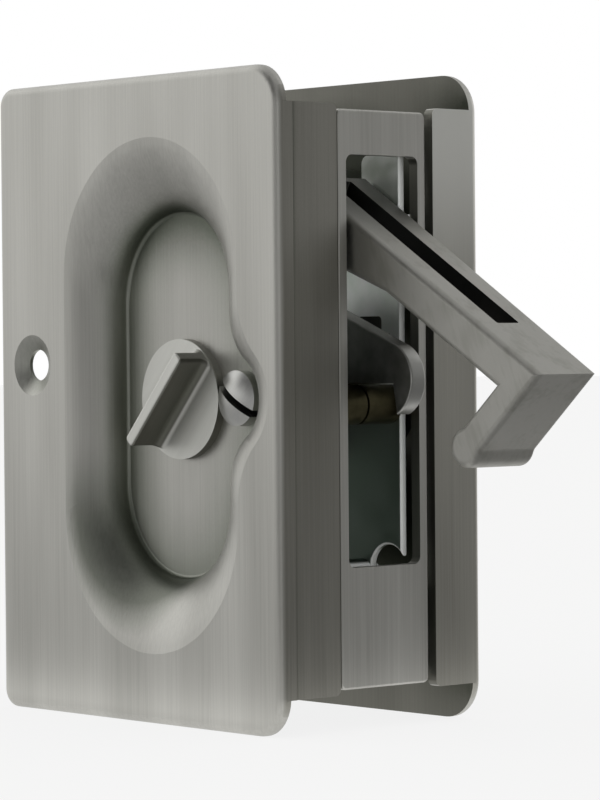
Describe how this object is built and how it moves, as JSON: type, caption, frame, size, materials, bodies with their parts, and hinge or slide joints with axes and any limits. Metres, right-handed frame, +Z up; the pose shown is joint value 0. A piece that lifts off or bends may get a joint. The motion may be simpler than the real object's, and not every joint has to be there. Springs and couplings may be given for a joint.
{
  "type": "pocket door lock",
  "caption": "Pocket door privacy lock: dished plates with a thumb turn and a coin slot turn, a hook bolt and a swinging edge pull in a mortise case.",
  "frame": {"origin": "on the plane of the door's edge, in the middle of the mortise case, level with the spindle", "axes": "+X out of the door's edge, +Y through the door from the thumb turn side to the coin slot side, +Z up"},
  "size_m": [0.089, 0.034, 0.0826],
  "materials": {
    "satin_nickel": "satin nickel plate, brushed",
    "zinc_steel": "zinc-plated sheet steel",
    "dark_steel": "dull steel, oiled",
    "brass": "dull brass"
  },
  "bodies": {
    "base": {"front_plate": "satin_nickel", "rear_plate": "satin_nickel", "case_front_wall": "zinc_steel", "case_rear_wall": "zinc_steel", "case_spacers": "zinc_steel", "faceplate": "satin_nickel", "pull_pivot_pins": "zinc_steel", "pull_washers": "dark_steel", "stop_stud": "brass", "stop_sleeve": "brass", "through_screw": "satin_nickel", "threaded_post": "brass"},
    "turn": {"thumb_turn": "satin_nickel", "emergency_turn": "satin_nickel", "turn_washers": "dark_steel", "turn_clips": "dark_steel", "spindle": "zinc_steel", "hub": "zinc_steel", "hook_bolt": "dark_steel"},
    "pull": {"edge_pull": "satin_nickel"}
  },
  "joints": [
    {"name": "turn_hinge", "type": "hinge", "parent": "base", "child": "turn", "pos_m": [-0.02375, 0, 0], "axis": [0, -1, 0], "range_deg": [0, 40]},
    {"name": "pull_hinge", "type": "hinge", "parent": "base", "child": "pull", "pos_m": [-0.0025, 0, 0.0207], "axis": [0, 1, 0], "range_deg": [0, 58.8]}
  ]
}
